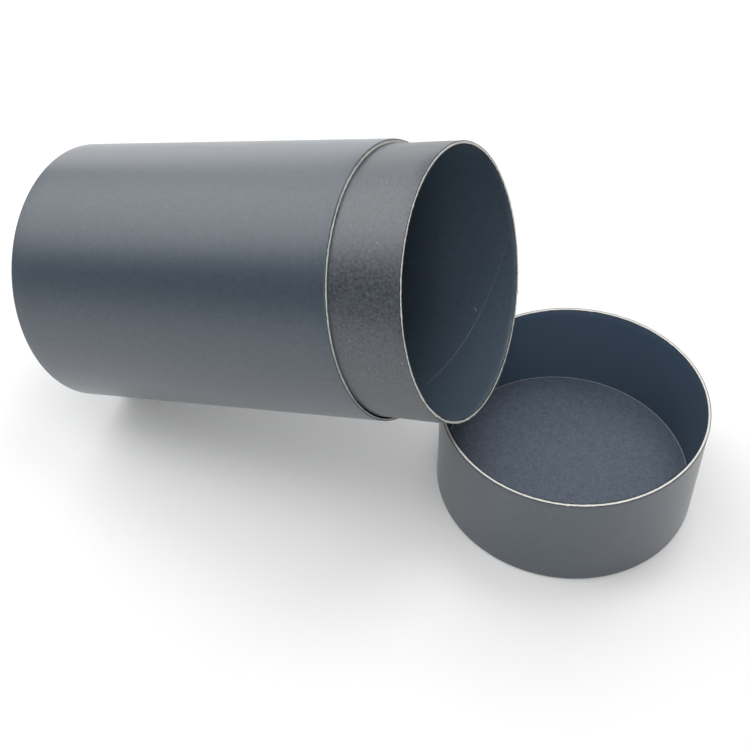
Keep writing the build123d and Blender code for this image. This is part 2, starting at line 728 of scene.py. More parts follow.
@dataclass(frozen=True, kw_only=True)
class PaperFinish(Finish):
    """A paper or card surface: its colours, its stray specks, its lacquer, its seam and its scuffs."""

    colour: Colour
    contrast: float
    rough_spread: float
    speck_colour: Colour
    speck_scale: float
    speck_share: float
    speck_size: float
    shine: float = 0.5
    lacquer: float = 0.0
    lacquer_spread: float = 0.0
    seam_value: str = ""
    seam_strength: float = 0.0
    scuffs: tuple[Scuff, ...] = ()
    fibre_range: tuple[float, float] = (0.3, 0.7)

    def look(self, wiring: Wiring, effects: Effects, place: Any, mottle: Any) -> dict[str, Any]:
        """Two shades mixed by the fibre, under specks, seam and scuffs, with sheen and lacquer to match."""
        dark = tuple(part * (1 - self.contrast) for part in self.colour)
        light = tuple(part * (1 + self.contrast) for part in self.colour)
        colour = wiring.mix(wiring.between(mottle, *self.fibre_range), dark, light)
        specks = effects.specks.placed(wiring, {
            "Vector": place["Object"],
            "Scale": self.speck_scale,
            "Share": self.speck_share,
            "Size": self.speck_size,
        })
        colour = wiring.mix(specks, colour, self.speck_colour)
        if self.seam_value:
            seam = wiring.node("Attribute", attribute_name=self.seam_value).outputs["Fac"]
            seam = wiring.math("MULTIPLY", seam, self.seam_strength)
            colour = wiring.mix(seam, colour, self.speck_colour)
        for scuff in self.scuffs:
            mask = effects.scuff.placed(wiring, {
                "UV": place["UV"],
                "Place": (math.radians(scuff.angle) * UV_RADIUS, scuff.height, 0.0),
                "Slant": math.radians(scuff.slant),
                "Length": scuff.length,
                "Width": scuff.width,
            })
            colour = wiring.mix(wiring.math("MULTIPLY", mask, scuff.strength), colour, scuff.tone.value)
        smooth, coarse = self.rough - self.rough_spread, self.rough + self.rough_spread
        lacquer = self.lacquer
        if self.lacquer_spread:
            thin = self.lacquer - self.lacquer_spread
            lacquer = wiring.between(mottle, *self.fibre_range, thin, self.lacquer)
        return {
            "Base Color": colour,
            "Roughness": wiring.between(mottle, *self.fibre_range, smooth, coarse),
            "Coat Weight": lacquer,
            "Coat Roughness": self.rough,
        }


@dataclass(frozen=True, kw_only=True)
class BoardEdgeFinish(Finish):
    """The raw cut edge of wound board: a pale core of plies between two thin dark papers."""

    core: Colour
    ply_line: Colour
    paper: Colour
    outer_paper_share: float
    inner_paper_share: float
    plies: int
    rough: float = 0.9
    shine: float = 0.2
    ragged_share: float = 0.12
    soft_share: float = 0.04
    line_from: float = 0.8
    line_strength: float = 0.5
    line_fibre: tuple[float, float] = (0.35, 0.6)
    core_fibre: tuple[float, float] = (0.25, 0.75)

    def look(self, wiring: Wiring, effects: Effects, place: Any, mottle: Any) -> dict[str, Any]:
        """Core, lines between plies and papers, by the depth through the board that the mesh holds."""
        depth = wiring.node("Attribute", attribute_name="depth").outputs["Fac"]
        wave = wiring.math("COSINE", wiring.math("MULTIPLY", depth, math.pi * self.plies))
        line = wiring.between(wiring.math("ABSOLUTE", wave), self.line_from, 1.0)
        line = wiring.math("MULTIPLY", line, wiring.between(mottle, *self.line_fibre))
        colour = wiring.mix(wiring.between(mottle, *self.core_fibre), self.ply_line, self.core)
        colour = wiring.mix(wiring.math("MULTIPLY", line, self.line_strength), colour, self.ply_line)
        centred = wiring.math("SUBTRACT", mottle, effects.mottle.middle)
        ragged = wiring.math("MULTIPLY_ADD", centred, self.ragged_share, depth)
        outer = wiring.between(ragged, self.outer_paper_share, self.outer_paper_share - self.soft_share)
        inner_edge = 1 - self.inner_paper_share
        inner = wiring.between(ragged, inner_edge, inner_edge + self.soft_share)
        return {"Base Color": wiring.mix(wiring.math("MAXIMUM", outer, inner), colour, self.paper)}


PALE_FLECK = Scuff(length=0.0005, width=0.0003)
SMALL_FLECK = Scuff(length=0.0004, width=0.0003)
ROUND_FLECK = Scuff(length=0.0005, width=0.0004)
SMUDGE = Scuff(length=0.0012, width=0.0008, tone=ScuffTone.DARK)

FACED_PAPER = PaperFinish(
    name="matte_slate_paper",
    colour=(0.028, 0.045, 0.065),
    contrast=0.2,
    fibre_scale=600.0,
    rough=0.41,
    rough_spread=0.02,
    shine=0.55,
    lacquer=1.0,
    lacquer_spread=0.14,
    relief=0.000006,
    speck_colour=(0.42, 0.42, 0.42),
    speck_scale=90.0,
    speck_share=0.05,
    speck_size=0.035,
)
BODY_PAPER = replace(FACED_PAPER, scuffs=(
    replace(PALE_FLECK, height=0.0517, angle=-150.4, strength=0.5),
    replace(PALE_FLECK, height=0.1033, angle=82.3, strength=0.3),
    replace(SMUDGE, height=0.0402, angle=106.1, strength=0.5),
    replace(SMALL_FLECK, height=0.0284, angle=125.4, strength=0.3),
    replace(SMALL_FLECK, height=0.0678, angle=112.8, strength=0.3),
    replace(SMALL_FLECK, height=0.0712, angle=100.2, strength=0.3),
))
LID_PAPER = replace(FACED_PAPER, name="lid_slate_paper", scuffs=(
    Scuff(length=0.0007, width=0.0003, slant=20.0, height=0.0368, angle=-109.6, strength=0.25),
    Scuff(length=0.0005, width=0.0003, slant=20.0, height=0.0343, angle=-106.8, strength=0.2),
    Scuff(length=0.0006, width=0.0003, slant=-30.0, height=0.0191, angle=-111.9, strength=0.2),
))
NECK_CARD = PaperFinish(
    name="speckled_neck_card",
    colour=(0.038, 0.047, 0.06),
    contrast=0.75,
    fibre_scale=900.0,
    rough=0.42,
    rough_spread=0.1,
    relief=0.00006,
    shine=1.0,
    lacquer=0.25,
    speck_colour=(0.24, 0.245, 0.255),
    speck_scale=260.0,
    speck_share=0.2,
    speck_size=0.11,
    scuffs=(
        replace(ROUND_FLECK, height=0.1479, angle=98.0, strength=0.35),
        replace(ROUND_FLECK, height=0.1425, angle=118.7, strength=0.2),
        replace(ROUND_FLECK, height=0.1496, angle=120.7, strength=0.3),
        replace(ROUND_FLECK, height=0.1481, angle=118.6, strength=0.25),
        replace(ROUND_FLECK, height=0.1483, angle=128.6, strength=0.3),
        replace(ROUND_FLECK, height=0.1530, angle=125.8, strength=0.3),
        replace(ROUND_FLECK, height=0.1574, angle=126.1, strength=0.2),
    ),
)
NECK_LINING = PaperFinish(
    name="neck_lining_card",
    colour=(0.053, 0.079, 0.108),
    contrast=0.2,
    fibre_scale=900.0,
    rough=0.48,
    rough_spread=0.05,
    relief=0.00002,
    shine=0.8,
    speck_colour=(0.4, 0.41, 0.42),
    speck_scale=150.0,
    speck_share=0.06,
    speck_size=0.06,
    seam_value="seam",
    seam_strength=0.4,
    scuffs=(Scuff(length=0.0014, width=0.0003, slant=-45.0, height=0.18, angle=-51.7, strength=0.6),),
)
LID_LINING = replace(
    FACED_PAPER,
    name="lid_lining_paper",
    colour=(0.07, 0.112, 0.168),
    contrast=0.08,
    fibre_scale=800.0,
    rough=0.42,
    rough_spread=0.03,
    shine=0.8,
    lacquer=0.0,
    lacquer_spread=0.0,
    speck_colour=(0.3, 0.31, 0.33),
    speck_size=0.04,
)
BOARD_CARD = PaperFinish(
    name="speckled_end_board",
    colour=(0.094, 0.118, 0.156),
    contrast=0.36,
    fibre_scale=1000.0,
    rough=0.62,
    rough_spread=0.05,
    relief=0.00003,
    speck_colour=(0.4, 0.4, 0.42),
    speck_scale=150.0,
    speck_share=0.08,
    speck_size=0.06,
)
LOOSE_FIBRE = PaperFinish(
    name="loose_pale_fibre",
    colour=(0.72, 0.72, 0.69),
    contrast=0.1,
    fibre_scale=900.0,
    rough=0.9,
    rough_spread=0.02,
    relief=0.0,
    shine=0.2,
    speck_colour=(0.5, 0.48, 0.45),
    speck_scale=90.0,
    speck_share=0.0,
    speck_size=0.05,
)
CUT_EDGE = BoardEdgeFinish(
    name="raw_board_edge",
    core=(0.81, 0.81, 0.77),
    ply_line=(0.62, 0.61, 0.57),
    paper=(0.02, 0.021, 0.026),
    outer_paper_share=0.2,
    inner_paper_share=0.3,
    plies=5,
    fibre_scale=1500.0,
    relief=0.00005,
)
SHOULDER_EDGE = replace(
    CUT_EDGE, name="raw_shoulder_edge", core=(0.85, 0.86, 0.83), inner_paper_share=0.08
)
DIE_CUT_EDGE = replace(
    CUT_EDGE,
    name="die_cut_board_edge",
    core=(0.56, 0.59, 0.61),
    ply_line=(0.3, 0.32, 0.34),
    paper=(0.084, 0.091, 0.111),
    outer_paper_share=0.1,
    inner_paper_share=0.0,
    plies=3,
    fibre_scale=900.0,
    ragged_share=0.0,
)
FINISHES = (
    BODY_PAPER, LID_PAPER, NECK_CARD, NECK_LINING, LID_LINING, BOARD_CARD,
    CUT_EDGE, SHOULDER_EDGE, DIE_CUT_EDGE, LOOSE_FIBRE,
)


# Sub-assemblies

FACE_DEPTHS = (0.0, 0.0)
LINING_DEPTHS = (1.0, 1.0)
CROSSING_DEPTHS = (1.0, 0.0)
OUTWARDS, UPWARDS, INWARDS, DOWNWARDS = 0.0, 90.0, 180.0, 270.0
CORNER_ROUND = 0.00008


@dataclass(frozen=True)
class RimForm:
    """The form of a raw rim: its outer rounding, how far its inner plies stop short, and its tuck in."""

    outer_round: float = CORNER_ROUND
    round_rows: int = 2
    round_zone: Zone = Zone.CUT
    round_ragged: float = 0.5
    step: float = 0.0
    tuck: float = 0.0


@dataclass(frozen=True)
class WoundBoard:
    """Sizes that the walls share: the board, its curled end and the rows and columns of points."""

    wall: float = 0.0014
    curl_slot: float = 0.0004
    foot_round: float = 0.0013
    corner: float = CORNER_ROUND
    corner_ragged: float = 0.5
    step_share: float = 0.6
    columns: int = 720
    outside_rows: int = 24
    foot_rows: int = 10
    lip_rows: int = 8
    lip_edge_rows: int = 6
    short_rows: int = 4
    corner_rows: int = 2
    outer_ply_rows: int = 14
    inner_ply_rows: int = 8
    step_rows: int = 3
    pleats: int = 84
    pleat_depth: float = 0.00006
    pleat_beats: int = 5
    pleat_beat_share: float = 0.4
    pleat_beat_start: float = 1.0

    def curled_section(
        self, outer_radius: float, length: float, lip_top: float, edge: RimForm
    ) -> Section:
        """Section of a curled wall: up the outside, over the rim, down the inside and round the curl.

        Args:
            outer_radius: The wall's outside radius.
            length: Height of the raw rim over the foot.
            lip_top: Height of the curl's lip.
            edge: The rim's form.

        Returns:
            The closed section.
        """
        bore = outer_radius - self.wall
        lip_outer = bore - self.curl_slot
        lip_inner = lip_outer - self.wall
        wall, corner, foot = self.wall, self.corner, self.foot_round
        inside_top, lip_low = length - edge.step - corner, lip_top - corner

        def face(rows: int, zone: Zone = Zone.FACE) -> Span:
            """Rows on the outer face."""
            return Span(rows, FACE_DEPTHS, zone)

        def lining(rows: int, zone: Zone = Zone.LINING) -> Span:
            """Rows on the inner face."""
            return Span(rows, LINING_DEPTHS, zone)

        lip_edge = Span(self.lip_edge_rows, CROSSING_DEPTHS, Zone.CUT)
        top, corners = length - edge.outer_round, self.corner_rows
        return Section.joined((
            face(self.foot_rows).bend((outer_radius - foot, foot), foot, (-UPWARDS, OUTWARDS)),
            face(self.outside_rows).line((outer_radius, foot), (outer_radius, top)),
            self.rim(outer_radius, length, edge),
            lining(self.outside_rows // 2).line((bore, inside_top), (bore, wall)),
            lining(corners).line((bore, wall), (lip_outer, wall)),
            lining(self.short_rows).line((lip_outer, wall), (lip_outer, lip_low)),
            lining(corners, Zone.CUT).bend((lip_outer - corner, lip_low), corner, (OUTWARDS, UPWARDS)),
            lip_edge.line((lip_outer - corner, lip_top), (lip_inner + corner, lip_top)),
            face(corners, Zone.CUT).bend((lip_inner + corner, lip_low), corner, (UPWARDS, INWARDS)),
            face(self.lip_rows).line((lip_inner, lip_low), (lip_inner, foot)),
            face(self.lip_rows).bend((lip_inner + foot, foot), foot, (INWARDS, DOWNWARDS)),
            face(self.short_rows).line((lip_inner + foot, 0.0), (outer_radius - foot, 0.0)),
        ))

    def rim(self, outer_radius: float, top: float, edge: RimForm) -> Section:
        """The raw rim from its outer corner to its inner corner, with rows enough for its plies.

        Args:
            outer_radius: The wall's outside radius.
            top: Height of the rim.
            edge: The rim's form.

        Returns:
            The rim's rows.
        """
        corner, inner = self.corner, outer_radius - self.wall - edge.tuck
        curve, share = edge.outer_round, self.step_share
        skin, inner_skin = curve / self.wall, 1 - corner / self.wall
        joint, low = outer_radius - self.wall * share, top - edge.step
        rounding = Span(edge.round_rows, (0.0, skin), edge.round_zone, edge.round_ragged)
        outer_plies = Span(self.outer_ply_rows, (skin, share), Zone.CUT, 1.0)
        drop = Span(self.step_rows, (share, share), Zone.CUT, 1.0)
        inner_plies = Span(self.inner_ply_rows, (share, inner_skin), Zone.CUT, 1.0)
        inner_corner = Span(self.corner_rows, (inner_skin, 1.0), Zone.CUT, self.corner_ragged)
        step = [drop.line((joint, top), (joint, low))] if edge.step else []
        return Section.joined((
            rounding.bend((outer_radius - curve, top - curve), curve, (OUTWARDS, UPWARDS)),
            outer_plies.line((outer_radius - curve, top), (joint, top)),
            *step,
            inner_plies.line((joint, low), (inner + corner, low)),
            inner_corner.bend((inner + corner, low - corner), corner, (UPWARDS, INWARDS)),
        ))

    def pleated(self, section: Section, angle: np.ndarray, lip_top: float) -> np.ndarray:
        """Radius added by the curled paper's small pleats: cosine waves on the lip's inner face."""
        inner = section.radius < section.radius.max() - self.wall - self.curl_slot - self.corner
        rise = (section.wears(Zone.FACE) & inner) * smooth_step(section.height / lip_top)
        waves = np.cos(self.pleat_beats * angle + self.pleat_beat_start)
        beat = 1 - self.pleat_beat_share + self.pleat_beat_share * waves
        return self.pleat_depth * rise[:, None] * beat * np.cos(self.pleats * angle)


def wall_shape(
    section: Section,
    angles: np.ndarray,
    twist: np.ndarray,
    swell: np.ndarray,
    lift: np.ndarray,
    axis: Axis,
) -> Shape:
    """Carries a closed section round an axis: a point is (radius + swell, angle + twist, height + lift).

    Args:
        section: The wall's section, one row to a grid row.
        angles: Angles of the grid's columns, in radians from 0 to a full turn.
        twist: Angle added to each row, with one value more for the end of the closing strip.
        swell: Radius added, rows by columns.
        lift: Height added, rows by columns.
        axis: The wall's axis.

    Returns:
        The closed shape. Its UVs are the length round at the UV radius and the length along the section.
    """
    rows, columns = len(section.radius), len(angles)
    grid_angle = angles[None, :] + twist[:-1, None]
    points = axis.place(section.radius[:, None] + swell, grid_angle, section.height[:, None] + lift)
    ends = np.append(angles, angles[0] + FULL_TURN)
    first, last = ends[None, :-1], ends[None, 1:]
    low_turn, high_turn = twist[:-1, None], twist[1:, None]
    across = (first + low_turn, last + low_turn, last + high_turn, first + high_turn)
    run = section.lengths()
    even = np.zeros((rows, columns))
    low, high = even + run[:-1, None], even + run[1:, None]
    uvs = np.stack((np.stack(across, -1) * UV_RADIUS, np.stack((low, low, high, high), -1)), -1)
    return Shape(
        corners=points,
        quads=ring_quads(rows, columns, True),
        zones=np.repeat(section.zone, columns),
        uvs=uvs.reshape(-1, 2),
        values={"depth": even + section.depth[:, None]},
    )


@dataclass(frozen=True)
class CurledWall:
    """A wall with a curled end: its rim's form and wear, its paper's lap, and any oval or sunk plies."""

    sizes: TubeSizes
    board: WoundBoard
    axis: Axis
    length: float
    wear: RimWear
    lap: LapSeam
    edge: RimForm = RimForm()
    oval: OutOfRound | None = None
    sunk: SunkPlies | None = None

    def shape(self) -> Shape:
        """Carries the section round, swollen by oval, burr, pleats and lap, and uneven at its rim."""
        board, radius, lip_top = self.board, self.sizes.outer_radius, self.sizes.board_low
        section = board.curled_section(radius, self.length, lip_top, self.edge)
        angles = even_columns(board.columns, self.lap.columns(radius))
        grid = np.broadcast_to(angles, (len(section.radius), len(angles)))
        outside = section.wears(Zone.FACE) & (section.radius > radius - board.corner)
        oval = self.oval.swell(section.height, grid) if self.oval else np.zeros(grid.shape)
        swell = oval + self.wear.swell(section, grid) + board.pleated(section, grid, lip_top)
        swell = swell + outside[:, None] * self.lap.swell(grid, radius)
        lift = self.wear.lift(section, grid)
        if self.sunk:
            lift = lift + self.sunk.raised(section, grid, self.length, board.step_share)
        made = wall_shape(section, angles, np.zeros(len(grid) + 1), swell, lift, self.axis)
        if self.sunk:
            # Painted shade: where the plies have sunk, their depth is moved to the dark inner paper's
            # colour.
            made.values["depth"] = self.sunk.painted_shade_depth(section, grid, board.step_share)
        return made


@dataclass(frozen=True)
class EndBoard:
    """A round end board: a die-cut disc with a bruised upper edge and a slight cup."""

    radius: float
    low: float
    high: float
    bruise_width: float = 0.00045
    bruise_drop: float = 0.0002
    bruise_rows: int = 6
    edge_rows: int = 4
    edge_depth_share: float = 0.8
    rough: float = 0.00002
    finest_waves: float = 90.0
    cup: float = 0.00004
    rings: int = 40
    columns: int = 360

    def shape(self, axis: Axis, seed: int) -> Shape:
        """Surface of the board: rings out along the underside, round the edge and back over the top.

        Args:
            axis: The axis that the board lies square to.
            seed: Seed of the cut edge's roughness.

        Returns:
            The shape, closed by two poles, with its faces FACE and its cut edge CUT.
        """
        flat = np.linspace(0.0, 1.0, self.rings + 1)[1:-1] * (self.radius - self.bruise_width)
        turn = np.radians(np.linspace(OUTWARDS, UPWARDS, self.bruise_rows + 1))[1:]
        side = np.linspace(self.low, self.high - self.bruise_drop, self.edge_rows)
        bruise_radius = self.radius - self.bruise_width * (1 - np.cos(turn))
        bruise_height = self.high - self.bruise_drop * (1 - np.sin(turn))
        side_depth = np.linspace(0.0, self.edge_depth_share, self.edge_rows)
        bruise_depth = np.linspace(self.edge_depth_share, 1.0, self.bruise_rows + 1)[1:]
        radius = np.concatenate((flat, np.full(self.edge_rows, self.radius), bruise_radius, flat[::-1]))
        under_height, over_height = np.full(len(flat), self.low), np.full(len(flat), self.high)
        height = np.concatenate((under_height, side, bruise_height, over_height))
        depth = np.concatenate((np.zeros(len(flat)), side_depth, bruise_depth, np.ones(len(flat))))
        rows, columns = len(radius), self.columns
        angles = even_columns(columns)
        rng = np.random.default_rng(seed)
        rough = band_noise(rng, rows, columns, self.finest_waves) * self.rough
        cut = (depth > 0.0) & (depth < 1.0)
        cupped = -self.cup * (1 - (radius / self.radius) ** 2) * (depth >= 1.0)
        grid_radius = radius[:, None] + np.where(cut[:, None], rough, 0.0)
        grid_height = np.broadcast_to((height + cupped)[:, None], (rows, columns))
        points = axis.place(grid_radius, np.broadcast_to(angles, (rows, columns)), grid_height)
        poles = axis.origin + np.array((self.low, self.high - self.cup))[:, None] * axis.along
        corners = np.concatenate((points.reshape(-1, 3), poles))
        triangles = pole_triangles(rows, columns)
        quads = ring_quads(rows, columns, False)
        row_zone = np.where(cut[:-1] & (depth[1:] > 0.0), Zone.CUT.value, Zone.FACE.value)
        zones = np.concatenate((np.repeat(row_zone, columns), np.full(len(triangles), Zone.FACE.value)))
        flat_uv = np.stack((np.cos(angles) * grid_radius, np.sin(angles) * grid_radius), -1).reshape(-1, 2)
        flat_uv = np.concatenate((flat_uv, np.zeros((2, 2))))
        uvs = np.concatenate((flat_uv[quads.ravel()], flat_uv[triangles.ravel()]))
        values = {"depth": np.concatenate((np.repeat(depth, columns), (0.0, 1.0)))}
        return Shape(corners, quads, zones, uvs, triangles, values)


@dataclass(frozen=True)
class PlySeam:
    """The helical butt seam of the neck's inner ply: its angle at the mouth, its turn, groove and fade."""

    mouth_angle: float = -9.4
    turn_per_metre: float = 3170.0
    groove: float = 0.00006
    half_width: float = 0.0002
    fade_from: float = 0.1475
    fade_to: float = 0.152


@dataclass(frozen=True)
class RimFibres:
    """Loose fibres along a raw rim: thin three-sided strands, thicker sown in a ragged stretch."""

    name: str
    slot: str
    axis: Axis
    radius: float
    height: float
    band: float
    count: int
    seed: int
    oval: OutOfRound | None = None
    ragged_middle: float = 0.0
    ragged_spread: float = 12.0
    ragged_count: int = 0
    length: float = 0.0004
    shortest_share: float = 0.5
    longest_share: float = 1.5
    thickness: float = 0.00003
    lean: float = 0.9
    bend: float = 0.5
    skew: float = 0.1
    sink: float = 0.00008
    rings: int = 4
    sides: int = 3

    def build(self, finishes: Finishes) -> bpy.types.Object:
        """Makes the strands: a curved path with points round it at each ring and one at each end.

        A strand's path is root + length (direction t + bend t^2), and its thickness falls as 1 - t^2.

        Args:
            finishes: Materials by finish name.

        Returns:
            One piece with all the strands.
        """
        rng = np.random.default_rng(self.seed)
        spread = rng.uniform(0.0, FULL_TURN, self.count)
        ragged = np.radians(rng.normal(self.ragged_middle, self.ragged_spread, self.ragged_count))
        angle = np.concatenate((spread, ragged))
        strands = len(angle)
        swell = self.oval.swell(np.array((self.height,)), angle[None, :])[0] if self.oval else 0.0
        radius = self.radius + swell - self.band * rng.uniform(0.0, 1.0, strands)
        root = self.axis.place(radius, angle, np.full(strands, self.height - self.sink))
        outward = self.axis.place(np.ones(strands), angle, np.zeros(strands)) - self.axis.origin
        round_way = np.cross(self.axis.along, outward)
        lean = rng.normal(0.0, self.lean, (2, strands, 1))
        direction = self.axis.along + outward * lean[0] + round_way * lean[1]
        direction /= np.linalg.norm(direction, axis=1, keepdims=True)
        bend = rng.normal(0.0, self.bend, (strands, 3))
        length = self.length * rng.uniform(self.shortest_share, self.longest_share, (strands, 1))
        share = np.linspace(0.0, 1.0, self.rings + 2)[None, :, None]
        path = root[:, None] + length[:, None] * (direction[:, None] * share + bend[:, None] * share**2)
        first = np.cross(direction, round_way + self.skew * outward)
        first /= np.linalg.norm(first, axis=1, keepdims=True)
        second = np.cross(direction, first)
        turn = np.arange(self.sides) * FULL_TURN / self.sides
        ring = np.cos(turn)[None, :, None] * first[:, None] + np.sin(turn)[None, :, None] * second[:, None]
        taper = self.thickness / 2 * (1 - share[:, 1:-1] ** 2)
        tube = path[:, 1:-1, None] + ring[:, None] * taper[..., None]
        corners = np.concatenate((tube.reshape(strands, -1, 3), path[:, :1], path[:, -1:]), 1)
        offset = (np.arange(strands) * corners.shape[1])[:, None, None]
        quads = (ring_quads(self.rings, self.sides, False)[None] + offset).reshape(-1, 4)
        triangles = (pole_triangles(self.rings, self.sides)[None] + offset).reshape(-1, 3)
        zones = np.zeros(len(quads) + len(triangles), int)
        uvs = np.zeros((quads.size + triangles.size, 2))
        shape = Shape(corners.reshape(-1, 3), quads, zones, uvs, triangles)
        return shape.piece(self.name, [finishes[LOOSE_FIBRE.name]], self.slot)


@dataclass(frozen=True)
class TubeHalf:
    """What the body and the lid share: the tube's sizes, the finishes and the wound board."""

    sizes: TubeSizes
    finishes: Finishes
    board: WoundBoard = WoundBoard()

    def worn(self, *wanted: Finish) -> list[bpy.types.Material]:
        """Materials of some finishes, in the order that they are named."""
        return [self.finishes[finish.name] for finish in wanted]

    def end_board(self, axis: Axis, seed: int, name: str, node: str) -> bpy.types.Object:
        """Makes the end board that lies on the curl's lip.

        Args:
            axis: The axis that the board lies square to.
            seed: Seed of the cut edge's roughness.
            name: The piece's name.
            node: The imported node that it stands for.

        Returns:
            The piece.
        """
        sizes = self.sizes
        shape = EndBoard(sizes.board_radius, sizes.board_low, sizes.board_high).shape(axis, seed)
        return shape.piece(name, self.worn(BOARD_CARD, DIE_CUT_EDGE), "disc_card", node)


SHOULDER_STEP = 0.0005


@dataclass(frozen=True)
class Body(TubeHalf):
    """The tube's body: the outer wall, the neck glued into it and the board in its base."""

    seam: PlySeam = PlySeam()
    shoulder_wear: RimWear = RimWear(seed=11)
    mouth_wear: RimWear = RimWear(seed=12, ragged_middle=-140.0, ragged_spread=16.0, ragged_fuzz=0.00026)
    lap: LapSeam = LapSeam(bearing=-30.0)
    shoulder_form: RimForm = RimForm(
        outer_round=0.0005,
        round_rows=6,
        round_zone=Zone.FACE,
        round_ragged=0.0,
        step=SHOULDER_STEP,
        tuck=0.00012,
    )
    # The shoulder's sunk plies: a real step, with painted shade on the sunk stretch near -140 degrees.
    shoulder_step: SunkPlies = SunkPlies(step=SHOULDER_STEP, middle=-140.0, spread=32.0)
    neck_columns: int = 600
    neck_face_rows: int = 30
    neck_lining_rows: int = 80
    neck_foot_rows: int = 4
    mouth_oval: float = 0.0005
    mouth_oval_bearing: float = 50.0
    mouth_fibre_count: int = 420
    mouth_ragged_count: int = 200
    shoulder_fibre_count: int = 200
    shoulder_fibre_length: float = 0.00025
    mouth_fibre_seed: int = 41
    shoulder_fibre_seed: int = 42
    base_seed: int = 21

    def build(self) -> list[bpy.types.Object]:
        """Makes the three pieces and the loose fibres on the two rims."""
        return [
            self.outer_wall(),
            self.neck(),
            self.end_board(self.sizes.body_axis, self.base_seed, "base_end_board", "base_disc"),
            *(fibres.build(self.finishes) for fibres in self.fibres()),
        ]

    def oval(self) -> OutOfRound:
        """The mouth's slight oval, held round at the shoulder."""
        sizes = self.sizes
        return OutOfRound(self.mouth_oval_bearing, self.mouth_oval, sizes.body_length, sizes.mouth)

    def fibres(self) -> tuple[RimFibres, ...]:
        """Loose fibres on the mouth, thick in its ragged stretch, and on the shoulder."""
        sizes, board = self.sizes, self.board
        mouth = RimFibres(
            name="mouth_fibres",
            slot="bare_card",
            axis=sizes.body_axis,
            radius=sizes.bore_radius + board.wall - board.corner,
            height=sizes.mouth,
            band=board.wall - 2 * board.corner,
            count=self.mouth_fibre_count,
            seed=self.mouth_fibre_seed,
            oval=self.oval(),
            ragged_middle=self.mouth_wear.ragged_middle,
            ragged_count=self.mouth_ragged_count,
        )
        shoulder = RimFibres(
            name="shoulder_fibres",
            slot="faced_board",
            axis=sizes.body_axis,
            radius=sizes.outer_radius - self.shoulder_form.outer_round,
            height=sizes.body_length,
            band=board.wall * board.step_share - self.shoulder_form.outer_round,
            count=self.shoulder_fibre_count,
            seed=self.shoulder_fibre_seed,
            length=self.shoulder_fibre_length,
        )
        return mouth, shoulder

    def outer_wall(self) -> bpy.types.Object:
        """The outer wall, with the sunk plies of its shoulder, painted dark there as shade."""
        sizes = self.sizes
        wall = CurledWall(
            sizes=sizes,
            board=self.board,
            axis=sizes.body_axis,
            length=sizes.body_length,
            wear=self.shoulder_wear,
            lap=self.lap,
            edge=self.shoulder_form,
            sunk=self.shoulder_step,
        )
        finishes = self.worn(BODY_PAPER, SHOULDER_EDGE, LID_LINING)
        return wall.shape().piece("body_outer_wall", finishes, "faced_board", "outer_tube")

    def neck(self) -> bpy.types.Object:
        """The neck: a plain section whose columns follow the inner ply's helix, with the seam as one."""
        sizes, board, ply = self.sizes, self.board, self.seam
        inner, top, foot = sizes.bore_radius, sizes.mouth, sizes.board_high
        outer, rim_low = inner + board.wall, top - board.corner
        section = Section.joined((
            Span(self.neck_face_rows, FACE_DEPTHS, Zone.FACE).line((outer, foot), (outer, rim_low)),
            board.rim(outer, top, RimForm()),
            Span(self.neck_lining_rows, LINING_DEPTHS, Zone.LINING).line((inner, rim_low), (inner, foot)),
            Span(self.neck_foot_rows, CROSSING_DEPTHS, Zone.CUT).line((inner, foot), (outer, foot)),
        ))
        is_inside = section.wears(Zone.LINING)
        is_foot = section.wears(Zone.CUT) & (section.height == foot)
        per_length = math.radians(ply.turn_per_metre)
        whole = per_length * (top - foot)
        spare = whole % FULL_TURN
        share = (section.height - foot) / (rim_low - foot)
        twist = np.where(is_inside, -per_length * (top - section.height), 0.0)
        twist = np.where(is_foot, -whole, twist)
        twist = np.where(section.wears(Zone.FACE), spare * (share - 1), twist)
        twist = np.append(twist, -whole)
        beside_seam = np.array((ply.half_width, -ply.half_width)) / inner
        angles = even_columns(self.neck_columns, beside_seam) + math.radians(ply.mouth_angle)
        grid = angles[None, :] + twist[:-1, None]
        swell = self.oval().swell(section.height, grid) + self.mouth_wear.swell(section, grid)
        seam = np.zeros((len(section.radius), len(angles)))
        seam[:, 0] = is_inside
        swell = swell + ply.groove * seam
        fade = smooth_step((section.height - ply.fade_from) / (ply.fade_to - ply.fade_from))
        lift = self.mouth_wear.lift(section, grid)
        shape = wall_shape(section, angles, twist, swell, lift, sizes.body_axis)
        shape.values["seam"] = seam * (1 - fade)[:, None]
        finishes = self.worn(NECK_CARD, CUT_EDGE, NECK_LINING)
        return shape.piece("neck_liner", finishes, "bare_card", "neck_tube")


